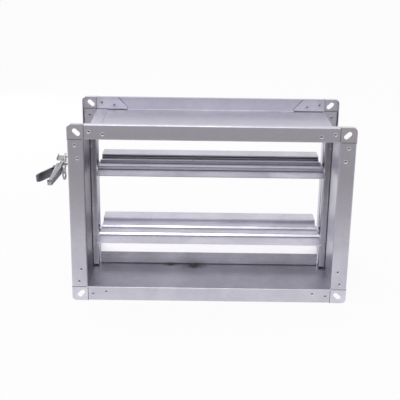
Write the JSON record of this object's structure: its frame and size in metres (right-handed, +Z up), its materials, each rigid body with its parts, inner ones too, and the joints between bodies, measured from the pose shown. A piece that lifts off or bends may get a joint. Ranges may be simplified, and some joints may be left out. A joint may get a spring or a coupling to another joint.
{
  "type": "manual volume control damper",
  "caption": "Rectangular duct damper with folded flanged casing, pressed corners, ribbed parallel blades and a hand lever on a locking quadrant.",
  "frame": {"origin": "the middle of the front opening, in the plane of the front flange's face", "axes": "+X across the duct towards the linkage, +Y along the air path away from the front flange, +Z up"},
  "size_m": [0.6463, 0.23, 0.3826],
  "materials": {
    "galvanised_sheet": "satin galvanised sheet",
    "pressed_corner": "bright zinc plate",
    "zinc_steel": "zinc plate",
    "dark_steel": "dull galvanised steel",
    "nylon": "moulded"
  },
  "bodies": {
    "casing": {"top_wall": "galvanised_sheet", "bottom_wall": "galvanised_sheet", "left_wall": "galvanised_sheet", "right_wall": "galvanised_sheet", "corner_front_top_left": "pressed_corner", "corner_front_top_right": "pressed_corner", "corner_front_bottom_left": "pressed_corner", "corner_front_bottom_right": "pressed_corner", "corner_back_top_left": "pressed_corner", "corner_back_top_right": "pressed_corner", "corner_back_bottom_left": "pressed_corner", "corner_back_bottom_right": "pressed_corner", "left_jamb": "galvanised_sheet", "right_jamb": "galvanised_sheet", "top_stop": "galvanised_sheet", "bottom_stop": "galvanised_sheet", "jamb_rivets": "zinc_steel", "stop_rivets": "zinc_steel", "upper_left_bush": "nylon", "upper_right_bush": "nylon", "lower_left_bush": "nylon", "lower_right_bush": "nylon", "quadrant": "dark_steel", "standoff_pillars": "zinc_steel"},
    "upper_blade": {"upper_blade": "galvanised_sheet", "upper_blade_screws": "zinc_steel", "drive_shaft": "zinc_steel", "upper_stub_shaft": "zinc_steel", "hand_lever": "dark_steel", "lock_bolt": "zinc_steel", "upper_crank": "zinc_steel", "upper_shaft_nuts": "zinc_steel", "upper_shaft_washers": "zinc_steel"},
    "lower_blade": {"lower_blade": "galvanised_sheet", "lower_blade_screws": "zinc_steel", "lower_free_shaft": "zinc_steel", "lower_stub_shaft": "zinc_steel", "lower_crank": "zinc_steel", "lower_shaft_nuts": "zinc_steel", "lower_shaft_washers": "zinc_steel"},
    "link_bar": {"link_bar": "zinc_steel", "link_pins": "zinc_steel"},
    "clamp_nut": {"clamp_nut": "dark_steel"}
  },
  "joints": [
    {"name": "upper_blade_turn", "type": "hinge", "parent": "casing", "child": "upper_blade", "pos_m": [0, 0.115, 0.0715], "axis": [1, 0, 0], "range_deg": [0, 86.5]},
    {"name": "lower_blade_turn", "type": "hinge", "parent": "casing", "child": "lower_blade", "pos_m": [0, 0.115, -0.0775], "axis": [1, 0, 0], "range_deg": [0, 86.5]},
    {"name": "link_bar_turn", "type": "hinge", "parent": "upper_blade", "child": "link_bar", "pos_m": [0.2631, 0.14268, 0.04546], "axis": [1, 0, 0], "range_deg": [-86.5, 0]},
    {"name": "clamp_nut_turn", "type": "hinge", "parent": "upper_blade", "child": "clamp_nut", "pos_m": [-0.3223, 0.08808, 0.06938], "axis": [1, 0, 0], "range_deg": [-180, 0]}
  ],
  "couplings": [
    {"joint": "lower_blade_turn", "follows": "upper_blade_turn", "ratio": 1},
    {"joint": "link_bar_turn", "follows": "upper_blade_turn", "ratio": -1}
  ]
}
